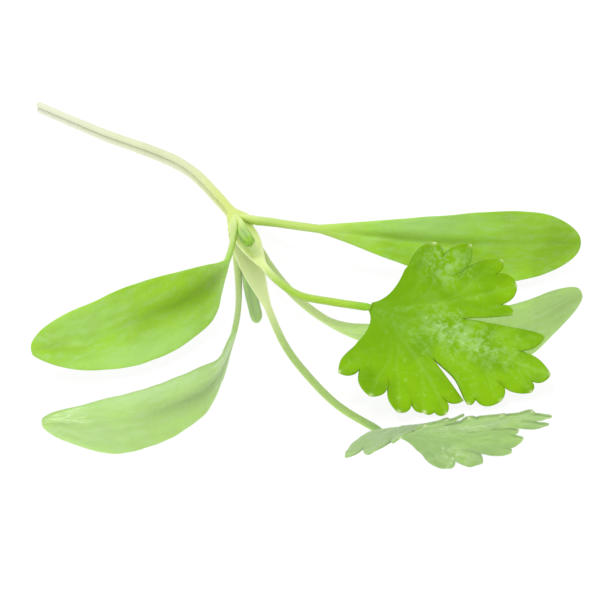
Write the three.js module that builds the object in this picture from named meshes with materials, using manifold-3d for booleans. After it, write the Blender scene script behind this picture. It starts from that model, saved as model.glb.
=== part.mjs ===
// A coriander microgreen: one cut seedling, lying on a flat surface. Millimetres, +Z up.
//
// The stem lies along the surface. At its collar two seed leaves on thin stalks spread to the left
// and right with their blades on edge, the first true leaf reaches forward on its sheathing stalk
// and rests the lower teeth of its fan blade on the surface, and the folded second leaf lies over
// that stalk. Each piece grows from its own place round the collar and keeps a small gap to it.
import * as THREE from "three";
import { mergeVertices } from "three/addons/utils/BufferGeometryUtils.js";
import Module from "manifold-3d";

// ---- Driving dimensions ----
const STEM_LENGTH = 34.3;
const STEM_DIAMETER = 0.76;
const COLLAR_WIDTH = 1.6;
const COLLAR_START = 0.9; // share of the stem's length where it begins to broaden

const SEED_STALK_LENGTH = 12.7;
const SEED_STALK_DIAMETER = 0.54;
const LEFT_BLADE_LENGTH = 22.6;
const LEFT_BLADE_WIDTH = 6.8;
const RIGHT_BLADE_LENGTH = 23.8;
const RIGHT_BLADE_WIDTH = 6.3;
const SEED_BLADE_THICKNESS = 0.5;
const SEED_BLADE_CUP = 0.7;
const FLATTENING = [-0.05, 0.35]; // shares of the blade over which the round stalk turns flat
const THINNING = [0.85, 1]; // and over which the blade thins to its tip
const TIP_THICKNESS = 0.5; // as a share of the blade's thickness
const TIP_WIDTH = 0.06; // as a share of the blade's width

const LEAF_STALK_LENGTH = 29.8;
const LEAF_STALK_DIAMETER = 0.66;
const SHEATH_WIDTH = 1.6;
const SHEATH_SHARE = 0.5; // share of the stalk's length that the sheath takes
const FAN_LENGTH = 15.5;
const FAN_THICKNESS = 0.34;
const FAN_BASE_WIDTH = 0.7;

const BUD_LENGTH = 11;
const BUD_STALK_DIAMETER = 0.54;
const BUD_DIAMETER = 1.16;
const BUD_SWELL = [0.15, 0.7]; // shares of its length over which it swells
const BUD_TIP = 0.1; // share of its length that the rounded tip takes
const BUD_BLUNTNESS = 0.87; // how far round that tip goes before its flat end

const COLLAR_GAP = 0.3; // between the end of the stem and whatever grows from it
const SIDE_GAP = 0.12; // between neighbours round the collar

// ---- Courses: points along each piece, as shares of its own length, from where it starts ----
const STEM_COURSE = [
  [0, 0, 0],
  [-0.048, 0.143, 0],
  [-0.149, 0.367, 0],
  [-0.378, 0.609, 0],
  [-0.558, 0.811, 0],
];
const LEFT_SEED_COURSE = [
  [0, 0, 0],
  [0.003, -0.12, 0.05],
  [-0.004, -0.266, 0.079],
  [-0.028, -0.398, 0.093],
  [-0.081, -0.541, 0.114],
  [-0.202, -0.634, 0.115],
  [-0.329, -0.681, 0.106],
  [-0.474, -0.685, 0.095],
];
const RIGHT_SEED_COURSE = [
  [0, 0, 0],
  [0.039, -0.099, 0.048],
  [0.122, -0.231, 0.098],
  [0.211, -0.315, 0.121],
  [0.386, -0.396, 0.119],
  [0.51, -0.421, 0.109],
  [0.611, -0.416, 0.1],
  [0.769, -0.359, 0.055],
];
const LEAF_STALK_COURSE = [
  [0, 0, 0],
  [0.023, -0.134, 0.017],
  [0.054, -0.336, 0.047],
  [0.102, -0.538, 0.089],
  [0.156, -0.665, 0.114],
  [0.237, -0.783, 0.154],
  [0.35, -0.89, 0.184],
];
const BUD_COURSE = [
  [0, 0, 0],
  [0.02, -0.48, 0.11],
  [0.073, -0.936, 0.257],
];

// ---- The fan blade of the first true leaf ----
const FAN_HEADING = -24.5; // degrees from +X, seen from above
const FAN_DROOP = 15.3; // degrees that its middle rib points down
const FAN_TILT = 41.3; // degrees that it is rolled up on its left side
const FAN_CUP = 1.2; // rise of its sides, as a share: CUP * across^2 / length
const FAN_CUP_FADE = 1.25; // how fast that rise fades towards the far end
const RIB_REACH = 0.45; // where a rib bends, as a share of its reach
const RIB_SPREAD = 0.6; // and of its turn
const TOOTH_BULGE = 0.24; // how round a tooth's flanks are, as a share of the flank
const BULGE_LIMIT = 0.022; // and at most this share of the blade's length
// Each tooth, from the left flank round to the right: its tip and then the notch after it, as
// [turn in degrees from the middle rib, reach as a share of the blade's length]. A deep notch
// parts two lobes, and its sides are straight.
const MARGIN_START = [67, 0.3];
const TEETH = [
  { tip: [63.5, 0.455], notch: [53.5, 0.45] },
  { tip: [51, 0.605], notch: [40.5, 0.5] },
  { tip: [40, 0.722], notch: [35, 0.672] },
  { tip: [29.5, 0.765], notch: [22, 0.68] },
  { tip: [17.5, 0.745], notch: [13.5, 0.49], deep: true },
  { tip: [11.8, 0.92], notch: [4.6, 0.81] },
  { tip: [0.4, 1.0], notch: [-3.7, 0.925] },
  { tip: [-6.6, 0.95], notch: [-8.8, 0.78] },
  { tip: [-13, 0.85], notch: [-17, 0.745] },
  { tip: [-20.2, 0.737], notch: [-19, 0.44], deep: true },
  { tip: [-24, 0.702], notch: [-30.5, 0.63] },
  { tip: [-33.5, 0.71], notch: [-37.3, 0.672] },
  { tip: [-41.5, 0.652], notch: [-45, 0.588] },
  { tip: [-52.5, 0.62], notch: [-53.5, 0.458] },
  { tip: [-65, 0.527], notch: [-73.5, 0.38] },
  { tip: [-86.7, 0.425], notch: [-84, 0.25] },
];

// ---- Fineness of the solids ----
const STEM_STEPS = 24;
const SEED_STEPS = 44;
const LEAF_STALK_STEPS = 30;
const BUD_STEPS = 14;
const STALK_SIDES = 12;
const SEED_SIDES = 16;
const FLANK_STEPS = 2;
const RIB_STEPS = 9;

const degrees = THREE.MathUtils.degToRad;
const UP = new THREE.Vector3(0, 0, 1);

const wasm = await Module();
wasm.setup();

// Only positions are kept, and corners that meet share one vertex.
function closed(geometry) {
  geometry.deleteAttribute("normal");
  geometry.deleteAttribute("uv");
  const merged = mergeVertices(geometry, 1e-4);
  merged.computeVertexNormals();
  return merged;
}

// A smooth curve through a course's points, at the given length.
function route(course, length) {
  return new THREE.CatmullRomCurve3(
    course.map(([x, y, z]) => new THREE.Vector3(x, y, z).multiplyScalar(length)),
  );
}

// Carries an elliptical section along a curve. section(t) gives the half width, the half thickness
// and the cup at the share t of the length. The width stands upright where lean is 0, and lean
// degrees back from the side that `face` names (+1 right of the course, -1 left); the cup moves
// both edges towards that side.
function sweep(curve, section, { steps, sides, lean, face }) {
  const geometry = new THREE.CylinderGeometry(1, 1, 1, sides, steps);
  const corners = geometry.attributes.position;
  const corner = new THREE.Vector3();
  for (let i = 0; i < corners.count; i++) {
    corner.fromBufferAttribute(corners, i);
    const t = THREE.MathUtils.clamp(corner.y + 0.5, 0, 1);
    const along = curve.getTangentAt(t);
    const level = new THREE.Vector3().crossVectors(along, UP).normalize();
    const upright = new THREE.Vector3().crossVectors(level, along);
    const width = upright
      .multiplyScalar(Math.cos(degrees(lean)))
      .addScaledVector(level, -face * Math.sin(degrees(lean)));
    const side = new THREE.Vector3().crossVectors(along, width);
    const { halfWidth, halfThickness, cup } = section(t);
    const place = curve
      .getPointAt(t)
      .addScaledVector(width, corner.z * halfWidth)
      .addScaledVector(side, corner.x * halfThickness)
      .addScaledVector(side, face * cup * (corner.z * corner.z - 0.5));
    corners.setXYZ(i, place.x, place.y, place.z);
  }
  return closed(geometry);
}

// ---- Stem ----
// Round along its length; over the last tenth before the collar it broadens sideways only, so that
// it lies flat on the surface all the way.
function stem() {
  const curve = route(STEM_COURSE.toReversed(), STEM_LENGTH);
  const section = (t) => ({
    halfWidth:
      STEM_DIAMETER / 2 +
      ((COLLAR_WIDTH - STEM_DIAMETER) / 2) * THREE.MathUtils.smoothstep(t, COLLAR_START, 1),
    halfThickness: STEM_DIAMETER / 2,
    cup: 0,
  });
  return sweep(curve, section, { steps: STEM_STEPS, sides: STALK_SIDES, lean: 90, face: 1 });
}

// ---- Seed leaves ----
// A round stalk that flattens into an oblong blade. Over the first part of the blade, up to
// `widest`, the width rises along a sine (taper 0) or along a slow S (taper 1); beyond it the end
// is half an ellipse.
function seedLeaf({ course, bladeLength, bladeWidth, widest, taper, lean, face }) {
  const length = SEED_STALK_LENGTH + bladeLength;
  const stalkRadius = SEED_STALK_DIAMETER / 2;
  const outline = (s) => {
    if (s <= 0) return 0;
    if (s > widest) return Math.sqrt(1 - ((s - widest) / (1 - widest)) ** 2);
    const rise = s / widest;
    return THREE.MathUtils.lerp(
      Math.sin((rise * Math.PI) / 2),
      THREE.MathUtils.smoothstep(rise, 0, 1),
      taper,
    );
  };
  const section = (t) => {
    const s = Math.min((t * length - SEED_STALK_LENGTH) / bladeLength, 1);
    const spread = Math.max(outline(s), s > widest ? TIP_WIDTH : 0);
    const flat = THREE.MathUtils.smoothstep(s, ...FLATTENING);
    const end = THREE.MathUtils.smoothstep(s, ...THINNING);
    return {
      halfWidth: stalkRadius * (1 - spread) + (bladeWidth / 2) * spread,
      halfThickness:
        THREE.MathUtils.lerp(stalkRadius, SEED_BLADE_THICKNESS / 2, flat) *
        THREE.MathUtils.lerp(1, TIP_THICKNESS, end),
      cup: SEED_BLADE_CUP * spread * spread,
    };
  };
  return sweep(route(course, length), section, {
    steps: SEED_STEPS,
    sides: SEED_SIDES,
    lean,
    face,
  });
}

// ---- First true leaf ----
// Its stalk: slender, with a broad sheathing base.
function leafStalk(curve) {
  const slender = LEAF_STALK_DIAMETER / 2;
  const section = (t) => {
    const swell = t < SHEATH_SHARE ? Math.sin((Math.PI * t) / SHEATH_SHARE) : 0;
    return {
      halfWidth: slender + (SHEATH_WIDTH / 2 - slender) * swell,
      halfThickness: slender,
      cup: 0,
    };
  };
  return sweep(curve, section, {
    steps: LEAF_STALK_STEPS,
    sides: STALK_SIDES,
    lean: 90,
    face: 1,
  });
}

// A point of the blade's flat plan, from a turn in degrees and a reach as a share of its length.
function planPoint([turn, reach]) {
  return new THREE.Vector2(Math.cos(degrees(turn)), Math.sin(degrees(turn))).multiplyScalar(
    reach * FAN_LENGTH,
  );
}

// A tooth's flank, which bulges to the left of its run because the margin runs clockwise.
function flank(from, to, deep) {
  const run = to.clone().sub(from);
  const left = new THREE.Vector2(-run.y, run.x).normalize();
  const bulge = deep ? 0 : Math.min(TOOTH_BULGE * run.length(), BULGE_LIMIT * FAN_LENGTH);
  const middle = from.clone().lerp(to, 0.5).addScaledVector(left, 2 * bulge);
  return new THREE.QuadraticBezierCurve(from, middle, to);
}

// The toothed margin, from one flank of the blade round to the other, as points in the plan.
function marginPoints() {
  const points = [planPoint(MARGIN_START)];
  TEETH.forEach(({ tip, notch, deep }, i) => {
    const afterDeep = i > 0 && TEETH[i - 1].deep;
    const up = flank(points.at(-1), planPoint(tip), afterDeep);
    const down = flank(planPoint(tip), planPoint(notch), deep);
    points.push(...up.getPoints(FLANK_STEPS).slice(1), ...down.getPoints(FLANK_STEPS).slice(1));
  });
  return points;
}

// Curved ribs fan out from the leaf's base to every point of the margin, and the sides rise with
// the square of their distance from the middle rib.
function fanBlade() {
  const margin = marginPoints();
  const last = margin.length - 1;
  const geometry = new THREE.BoxGeometry(1, 1, 1, last, RIB_STEPS, 1);
  const corners = geometry.attributes.position;
  const corner = new THREE.Vector3();
  for (let i = 0; i < corners.count; i++) {
    corner.fromBufferAttribute(corners, i);
    const k = Math.round((corner.x + 0.5) * last);
    const end = margin[k];
    const bend = new THREE.Vector2(end.length() * RIB_REACH, 0).rotateAround(
      new THREE.Vector2(),
      end.angle() > Math.PI ? (end.angle() - 2 * Math.PI) * RIB_SPREAD : end.angle() * RIB_SPREAD,
    );
    const start = new THREE.Vector2(0, FAN_BASE_WIDTH * (0.5 - k / last));
    const rib = new THREE.QuadraticBezierCurve(start, bend, end);
    const { x, y } = rib.getPoint(corner.y + 0.5);
    const rise = (FAN_CUP * (1 - (FAN_CUP_FADE * x) / FAN_LENGTH) * y * y) / FAN_LENGTH;
    corners.setXYZ(i, x, y, rise + corner.z * FAN_THICKNESS);
  }
  return closed(geometry);
}

// Turns the blade from its own frame (X along its middle rib, Z out of its upper face) to the way
// that it hangs.
function hung(blade) {
  const turn = new THREE.Matrix4()
    .makeRotationZ(degrees(FAN_HEADING))
    .multiply(new THREE.Matrix4().makeRotationY(degrees(FAN_DROOP)))
    .multiply(new THREE.Matrix4().makeRotationX(degrees(FAN_TILT)));
  return blade.applyMatrix4(turn);
}

// The whole leaf. Its stalk rises by just as much as lets the lowest tooth of the hanging blade
// rest on the surface, which is `below` under the start of the stalk.
function firstLeaf(below) {
  const blade = hung(fanBlade());
  blade.computeBoundingBox();
  const rise = -blade.boundingBox.min.z - below;
  const steepness = rise / (LEAF_STALK_COURSE.at(-1)[2] * LEAF_STALK_LENGTH);
  const course = LEAF_STALK_COURSE.map(([x, y, z]) => [x, y, z * steepness]);
  const curve = route(course, LEAF_STALK_LENGTH);
  const { x, y, z } = curve.getPointAt(1);
  return joined(leafStalk(curve), blade.translate(x, y, z));
}

// The solid that two closed geometries make together.
function joined(first, second) {
  const [a, b] = [first, second].map(
    (geometry) =>
      new wasm.Manifold(
        new wasm.Mesh({
          numProp: 3,
          vertProperties: Float32Array.from(geometry.attributes.position.array),
          triVerts: Uint32Array.from(geometry.index.array),
        }),
      ),
  );
  const mesh = a.add(b).getMesh();
  const geometry = new THREE.BufferGeometry();
  geometry.setAttribute("position", new THREE.BufferAttribute(mesh.vertProperties, 3));
  geometry.setIndex(new THREE.BufferAttribute(mesh.triVerts, 1));
  geometry.computeVertexNormals();
  return geometry;
}

// ---- Second leaf, still folded ----
// A thin stalk that swells into a blunt club.
function bud() {
  const section = (t) => {
    const swell = THREE.MathUtils.smoothstep(t, ...BUD_SWELL);
    const intoTip = Math.max(0, t - 1 + BUD_TIP) / BUD_TIP;
    const end = Math.sqrt(1 - (BUD_BLUNTNESS * intoTip) ** 2);
    const radius = (BUD_STALK_DIAMETER + (BUD_DIAMETER - BUD_STALK_DIAMETER) * swell) / 2;
    return { halfWidth: radius * end, halfThickness: radius * end, cup: 0 };
  };
  return sweep(route(BUD_COURSE, BUD_LENGTH), section, {
    steps: BUD_STEPS,
    sides: STALK_SIDES,
    lean: 0,
    face: 1,
  });
}

// ---- Colours ----
function leafy(color, roughness) {
  return new THREE.MeshStandardMaterial({ color, roughness, metalness: 0 });
}
const stemPale = leafy(0xdcebae, 0.45);
const seedGreen = leafy(0x9acb52, 0.4);
const leafGreen = leafy(0x86c20c, 0.35);
const budGreen = leafy(0x8cc644, 0.4);

// ---- The seedling, with the middle of its collar at the origin of its own group ----
const seedling = new THREE.Group();

function place(name, geometry, material, across, forward, height) {
  const mesh = new THREE.Mesh(geometry, material);
  mesh.name = name;
  mesh.position
    .copy(stemEnd.forward)
    .multiplyScalar(forward)
    .addScaledVector(stemEnd.across, across)
    .addScaledVector(UP, height);
  seedling.add(mesh);
}

// The stem's direction where it ends at the collar, and the level direction across it.
const stemTangent = route(STEM_COURSE.toReversed(), STEM_LENGTH).getTangentAt(1);
const stemEnd = {
  forward: stemTangent,
  across: new THREE.Vector3().crossVectors(UP, stemTangent).normalize(),
};

const stemHeight = STEM_DIAMETER / 2;
const besideStalk = LEAF_STALK_DIAMETER / 2 + SIDE_GAP + SEED_STALK_DIAMETER / 2;
const aboveStalk = LEAF_STALK_DIAMETER / 2 + SIDE_GAP + BUD_STALK_DIAMETER / 2;

place("stem", stem(), stemPale, 0, 0, stemHeight);
place(
  "left_seed_leaf",
  seedLeaf({
    course: LEFT_SEED_COURSE,
    bladeLength: LEFT_BLADE_LENGTH,
    bladeWidth: LEFT_BLADE_WIDTH,
    widest: 0.6,
    taper: 0,
    lean: 11,
    face: -1,
  }),
  seedGreen,
  -besideStalk,
  COLLAR_GAP,
  stemHeight,
);
place(
  "right_seed_leaf",
  seedLeaf({
    course: RIGHT_SEED_COURSE,
    bladeLength: RIGHT_BLADE_LENGTH,
    bladeWidth: RIGHT_BLADE_WIDTH,
    widest: 0.69,
    taper: 0.5,
    lean: 10,
    face: 1,
  }),
  seedGreen,
  besideStalk,
  COLLAR_GAP,
  stemHeight,
);
place(
  "first_leaf",
  firstLeaf(stemHeight),
  leafGreen,
  0,
  COLLAR_GAP,
  stemHeight,
);
place("second_leaf_bud", bud(), budGreen, 0, COLLAR_GAP, stemHeight + aboveStalk);

// The part's origin is on the surface, under the middle of the whole seedling.
const box = new THREE.Box3().setFromObject(seedling, true);
const middle = box.getCenter(new THREE.Vector3());
seedling.position.set(-middle.x, -middle.y, -box.min.z);

const coriander = new THREE.Group();
coriander.add(seedling);
export default coriander;
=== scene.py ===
"""A coriander microgreen: one cut seedling lying on a pale glossy surface.

The stem, the two seed leaves, the first true leaf and the folded second leaf are surfaces worked
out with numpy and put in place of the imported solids. Metres, +Z up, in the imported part's frame.
"""

import math

import bpy
import numpy as np
from bpy.props import FloatProperty, FloatVectorProperty, IntProperty, PointerProperty
from mathutils import Matrix, Vector


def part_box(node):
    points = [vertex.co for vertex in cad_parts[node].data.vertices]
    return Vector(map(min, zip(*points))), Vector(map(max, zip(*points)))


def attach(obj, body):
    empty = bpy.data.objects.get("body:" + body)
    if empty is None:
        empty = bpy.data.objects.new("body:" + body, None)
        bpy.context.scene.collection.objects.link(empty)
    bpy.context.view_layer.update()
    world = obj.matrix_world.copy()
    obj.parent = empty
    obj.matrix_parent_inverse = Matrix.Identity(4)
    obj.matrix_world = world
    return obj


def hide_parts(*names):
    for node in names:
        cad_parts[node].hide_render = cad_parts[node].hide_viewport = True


bl_info = {
    "name": "Coriander microgreen",
    "version": (1, 0, 0),
    "blender": (4, 5, 0),
    "location": "3D View > Sidebar > Seedling",
    "description": "Builds a cut coriander seedling with its seed leaves and first true leaf",
    "category": "Object",
}

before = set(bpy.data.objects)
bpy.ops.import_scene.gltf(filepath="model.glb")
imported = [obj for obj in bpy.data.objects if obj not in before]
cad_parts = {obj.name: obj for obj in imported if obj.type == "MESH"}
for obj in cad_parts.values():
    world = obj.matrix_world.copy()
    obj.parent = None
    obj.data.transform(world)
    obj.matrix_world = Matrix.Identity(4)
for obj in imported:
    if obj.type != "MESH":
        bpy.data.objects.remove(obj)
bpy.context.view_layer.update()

MM = 0.001
UP = np.array([0.0, 0.0, 1.0])

# ---- Courses: points along each piece, as shares of its own length, from where it starts ----
STEM_COURSE = [(0, 0, 0), (-0.048, 0.143, 0), (-0.149, 0.367, 0), (-0.378, 0.609, 0), (-0.558, 0.811, 0)]
LEFT_SEED_COURSE = [
    (0, 0, 0), (0.003, -0.12, 0.05), (-0.004, -0.266, 0.079), (-0.028, -0.398, 0.093),
    (-0.081, -0.541, 0.114), (-0.202, -0.634, 0.115), (-0.329, -0.681, 0.103),
    (-0.474, -0.685, 0.085),
]
RIGHT_SEED_COURSE = [
    (0, 0, 0), (0.039, -0.099, 0.048), (0.122, -0.231, 0.098), (0.211, -0.315, 0.121),
    (0.386, -0.396, 0.119), (0.51, -0.421, 0.109), (0.611, -0.416, 0.1), (0.769, -0.359, 0.055),
]
LEAF_STALK_COURSE = [
    (0, 0, 0), (0.023, -0.134, 0.017), (0.054, -0.336, 0.047), (0.102, -0.538, 0.089),
    (0.156, -0.665, 0.114), (0.237, -0.783, 0.154), (0.35, -0.89, 0.184),
]
BUD_COURSE = [(0, 0, 0), (0.02, -0.48, 0.11), (0.073, -0.936, 0.257)]

# ---- The blade's margin: each tooth's tip and the notch after it, clockwise from the left flank,
# as (turn in degrees from the middle rib, reach as a share of the blade's length), and the bulges
# of the two sides of a deep notch as shares of their lengths ----
MARGIN_START = (67, 0.3)
TEETH = [
    ((63.5, 0.455), (53.5, 0.45), None), ((51, 0.605), (40.5, 0.5), None),
    ((40, 0.722), (35, 0.672), None), ((29.5, 0.765), (22, 0.68), None),
    ((17.8, 0.745), (13.5, 0.49), (0.0, 0.02)), ((11.8, 0.92), (4.6, 0.81), None),
    ((0.4, 1.0), (-3.7, 0.925), None), ((-6.6, 0.95), (-8.8, 0.78), None),
    ((-13, 0.85), (-17, 0.745), None), ((-20.2, 0.737), (-19, 0.44), (0.0, 0.0)),
    ((-24, 0.702), (-30.5, 0.63), None), ((-33.5, 0.71), (-37.3, 0.672), None),
    ((-41.5, 0.652), (-45, 0.588), None), ((-52.5, 0.62), (-53.5, 0.458), None),
    ((-65, 0.527), (-73.5, 0.38), None), ((-86.7, 0.425), (-84, 0.25), None),
]
# Where pale sheen is painted on the upper skin (painted highlight, where the shader also makes it glossier),
# as (place along, place to the left, reach along, reach across, strength) in shares of the blade's length.
PAINTED_SHEEN = [(0.36, 0.03, 0.15, 0.1, 1.0), (0.29, 0.34, 0.12, 0.11, 1.0), (0.62, 0.02, 0.16, 0.08, 0.9)]
# Where it is painted darker green, as painted shade between the painted sheen patches, in the same way.
SHADE = [(0.36, 0.19, 0.14, 0.04, 0.9), (0.5, -0.22, 0.16, 0.07, 0.5), (0.62, 0.2, 0.16, 0.04, 0.4)]
# Veins, as (tooth, tooth that it branches from or None for the base, share of the way where it
# leaves that vein).
VEINS = [
    (6, None, 0.0), (3, None, 0.0), (11, None, 0.0), (13, 11, 0.16), (1, 3, 0.2), (0, 1, 0.3),
    (2, 3, 0.42), (4, 3, 0.46), (5, 6, 0.5), (7, 6, 0.62), (8, 6, 0.48), (9, 6, 0.3), (10, 11, 0.4),
    (12, 11, 0.5), (14, 13, 0.36), (15, 13, 0.22),
]


# ---- sizes and colours ----
def metres(name, description, default):
    """A length."""
    return FloatProperty(name=name, description=description, default=default, unit="LENGTH")


def degrees(name, description, default):
    """An angle, given in degrees."""
    return FloatProperty(name=name, description=description, default=math.radians(default), unit="ROTATION")


def share(name, description, default):
    """A share from 0 to 1."""
    return FloatProperty(name=name, description=description, default=default, subtype="FACTOR")


def tint(name, description, *default):
    """A colour, as linear red, green and blue."""
    return FloatVectorProperty(name=name, description=description, default=default, subtype="COLOR")


class StemSizes(bpy.types.PropertyGroup):
    """Sizes and colours of the stem."""

    length: metres("Length", "Along the stem from its cut end to the collar", 0.0343)
    diameter: metres("Diameter", "Thickness of the stem", 0.00076)
    collar: metres("Collar width", "Width where the stalks grow from it", 0.0016)
    colour: tint("Colour", "Pale green of the stem", 0.47, 0.50, 0.31)
    cut_colour: tint("Cut end colour", "Nearly white green by the cut end", 0.50, 0.52, 0.39)
    fresh_colour: tint("Fresh colour", "Yellow-green of the stem by the collar", 0.41, 0.49, 0.11)
    collar_colour: tint("Collar colour", "Yellow-green where the stalks part", 0.60, 0.76, 0.20)


class SeedLeafSizes(bpy.types.PropertyGroup):
    """Sizes and colours of the two seed leaves."""

    stalk_length: metres("Stalk length", "From the collar to the blade", 0.0127)
    stalk_diameter: metres("Stalk diameter", "Thickness of the stalk", 0.00054)
    left_length: metres("Left blade length", "Length of the left blade", 0.0226)
    left_width: metres("Left blade width", "Widest part of the left blade", 0.0068)
    right_length: metres("Right blade length", "Length of the right blade", 0.0238)
    right_width: metres("Right blade width", "Widest part of the right blade", 0.0063)
    thickness: metres("Thickness", "Thickness of the blades", 0.0004)
    cup: metres("Cup", "How far the edges curl towards the inner face", 0.0007)
    colour: tint("Colour", "Green of the blades", 0.335, 0.63, 0.03)
    # Hollow colour: painted shade in the cupped hollow. Pale colour: the ribs, and the painted glints and
    # sheen.
    hollow: tint("Hollow colour", "Darker green of the hollows", 0.18, 0.36, 0.004)
    pale: tint("Pale colour", "Paler green of ribs and patches", 0.40, 0.66, 0.20)
    stalk_colour: tint("Stalk colour", "Yellow-green of the stalks", 0.47, 0.64, 0.14)


class TrueLeafSizes(bpy.types.PropertyGroup):
    """Sizes and colours of the first true leaf."""

    stalk_length: metres("Stalk length", "From the collar to the blade", 0.0298)
    stalk_diameter: metres("Stalk diameter", "Thickness of the slender part", 0.00066)
    sheath_width: metres("Sheath width", "Widest part of the sheathing base", 0.0016)
    sheath_share: share("Sheath share", "Share of the stalk that the sheath takes", 0.38)
    length: metres("Blade length", "From the stalk to the farthest tooth", 0.0155)
    thickness: metres("Thickness", "Thickness of the blade", 0.00026)
    base_width: metres("Base width", "Width where the blade leaves the stalk", 0.0007)
    heading: degrees("Heading", "Turn of the middle rib from +X", -24.5)
    droop: degrees("Droop", "How far the middle rib points down", 15.3)
    tilt: degrees("Tilt", "How far it is rolled up on its left side", 41.3)
    cup: FloatProperty(name="Cup", description="Rise of the sides: cup x across^2 / length", default=1.2)
    quilting: metres("Quilting", "How far the skin swells between the veins", 0.00006)
    colour: tint("Colour", "Green of the blade", 0.21, 0.445, 0.0015)
    # The dark colour serves the random mottling, the darker base and the painted shade patches.
    dark: tint("Dark colour", "Darker patches of the blade", 0.15, 0.345, 0.001)
    pale: tint("Vein colour", "Pale green of the veins", 0.42, 0.66, 0.15)
    # The sheen colour is a painted highlight: pale speckled patches on the upper skin.
    painted_sheen: tint("Sheen colour", "Pale green of the blistered skin", 0.36, 0.57, 0.19)
    tip: tint("Tip colour", "Pale green of the tips of the teeth", 0.6, 0.72, 0.3)
    underside: tint("Underside colour", "Dull green of the underside", 0.34, 0.58, 0.12)
    sheath_colour: tint("Sheath colour", "Pale green of the sheath", 0.69, 0.83, 0.33)
    stalk_colour: tint("Stalk colour", "Green of the slender part", 0.31, 0.50, 0.03)


class BudSizes(bpy.types.PropertyGroup):
    """Sizes and colours of the folded second leaf."""

    length: metres("Length", "Length along its course", 0.011)
    stalk_diameter: metres("Stalk diameter", "Thickness of its stalk", 0.00054)
    diameter: metres("Club diameter", "Thickness of the folded blade", 0.00116)
    pleats: IntProperty(name="Pleats", description="Number of folds round it", default=5)
    colour: tint("Colour", "Green of the folded blade", 0.32, 0.60, 0.05)


class StageSizes(bpy.types.PropertyGroup):
    """The surface, the light and the camera."""

    elevation: degrees("Camera elevation", "Above the horizon", 30)
    roll: degrees("Camera roll", "Turn about the line of sight", -4.97)
    distance: metres("Camera distance", "From the point looked at", 0.2384)
    field: degrees("Field of view", "Across the square picture", 12.21)
    mirror: share("Gloss", "Share of the light that the surface mirrors", 0.86)


class SeedlingProps(bpy.types.PropertyGroup):
    """Everything that sizes the seedling."""

    stem: PointerProperty(type=StemSizes, name="Stem", description="The cut stem")
    seed: PointerProperty(type=SeedLeafSizes, name="Seed leaves", description="The two seed leaves")
    leaf: PointerProperty(type=TrueLeafSizes, name="True leaf", description="The first true leaf")
    bud: PointerProperty(type=BudSizes, name="Folded leaf", description="The second leaf, still folded")
    stage: PointerProperty(type=StageSizes, name="Stage", description="Surface, light and camera")


# ---- formulas ----
def smoothstep(x, low, high):
    """0 below low, 1 above high, and 3s^2 - 2s^3 of the share s in between."""
    s = np.clip((x - low) / (high - low), 0, 1)
    return s * s * (3 - 2 * s)


def ripple(seed, places, wavelength, waves=9):
    """Smooth unevenness between about -1 and 1 at an array of places: the mean of plane waves
    whose directions and phases are drawn once from the seed, times 0.6 of the root of twice their
    number."""
    rng = np.random.default_rng(seed)
    directions = rng.normal(size=(waves, places.shape[-1]))
    directions /= np.linalg.norm(directions, axis=1, keepdims=True)
    lengths = wavelength * rng.uniform(0.7, 1.5, waves)
    phases = rng.uniform(0, 2 * np.pi, waves)
    angles = places @ (directions * (2 * np.pi / lengths)[:, None]).T + phases
    return np.sin(angles).mean(-1) * math.sqrt(2 * waves) * 0.6


def course_line(course, length, count):
    """Points at even steps along a smooth curve through a course's points.

    Each span is a cubic whose end slopes come from its neighbours, with knots spaced by the square
    root of the distance; the spans are sampled finely and then resampled by their running length."""
    p = np.array(course, float) * length
    p = np.vstack([2 * p[0] - p[1], p, 2 * p[-1] - p[-2]])
    p0, p1, p2, p3 = p[:-3], p[1:-2], p[2:-1], p[3:]
    knot = lambda a, b: np.sqrt(np.linalg.norm(b - a, axis=1))[:, None]
    d0, d1, d2 = knot(p0, p1), knot(p1, p2), knot(p2, p3)
    m1 = ((p1 - p0) / d0 - (p2 - p0) / (d0 + d1) + (p2 - p1) / d1) * d1
    m2 = ((p2 - p1) / d1 - (p3 - p1) / (d1 + d2) + (p3 - p2) / d2) * d1
    t = np.linspace(0, 1, 120, endpoint=False)[None, :, None]
    p1, p2, m1, m2 = (a[:, None, :] for a in (p1, p2, m1, m2))
    cubic = p1 + m1 * t + (3 * (p2 - p1) - 2 * m1 - m2) * t**2 + (2 * (p1 - p2) + m1 + m2) * t**3
    fine = np.vstack([cubic.reshape(-1, 3), p[-2]])
    run = np.concatenate([[0], np.cumsum(np.linalg.norm(np.diff(fine, axis=0), axis=1))])
    return resampled(fine, run, np.linspace(0, run[-1], count))


def resampled(line, run, places):
    """The points at the given places of a line, whose own points lie at the given run."""
    return np.column_stack([np.interp(places, run, line[:, k]) for k in range(3)])


def course_axes(line, lean, face):
    """The direction along a line, the width direction and the side direction at each of its points.

    The width stands upright at lean 0 and falls lean radians back from the side that face names."""
    along = np.gradient(line, axis=0)
    along /= np.linalg.norm(along, axis=1, keepdims=True)
    level = np.cross(along, UP)
    level /= np.linalg.norm(level, axis=1, keepdims=True)
    upright = np.cross(level, along)
    width = upright * math.cos(lean) - level * (face * math.sin(lean))
    return along, width, np.cross(along, width)


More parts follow.
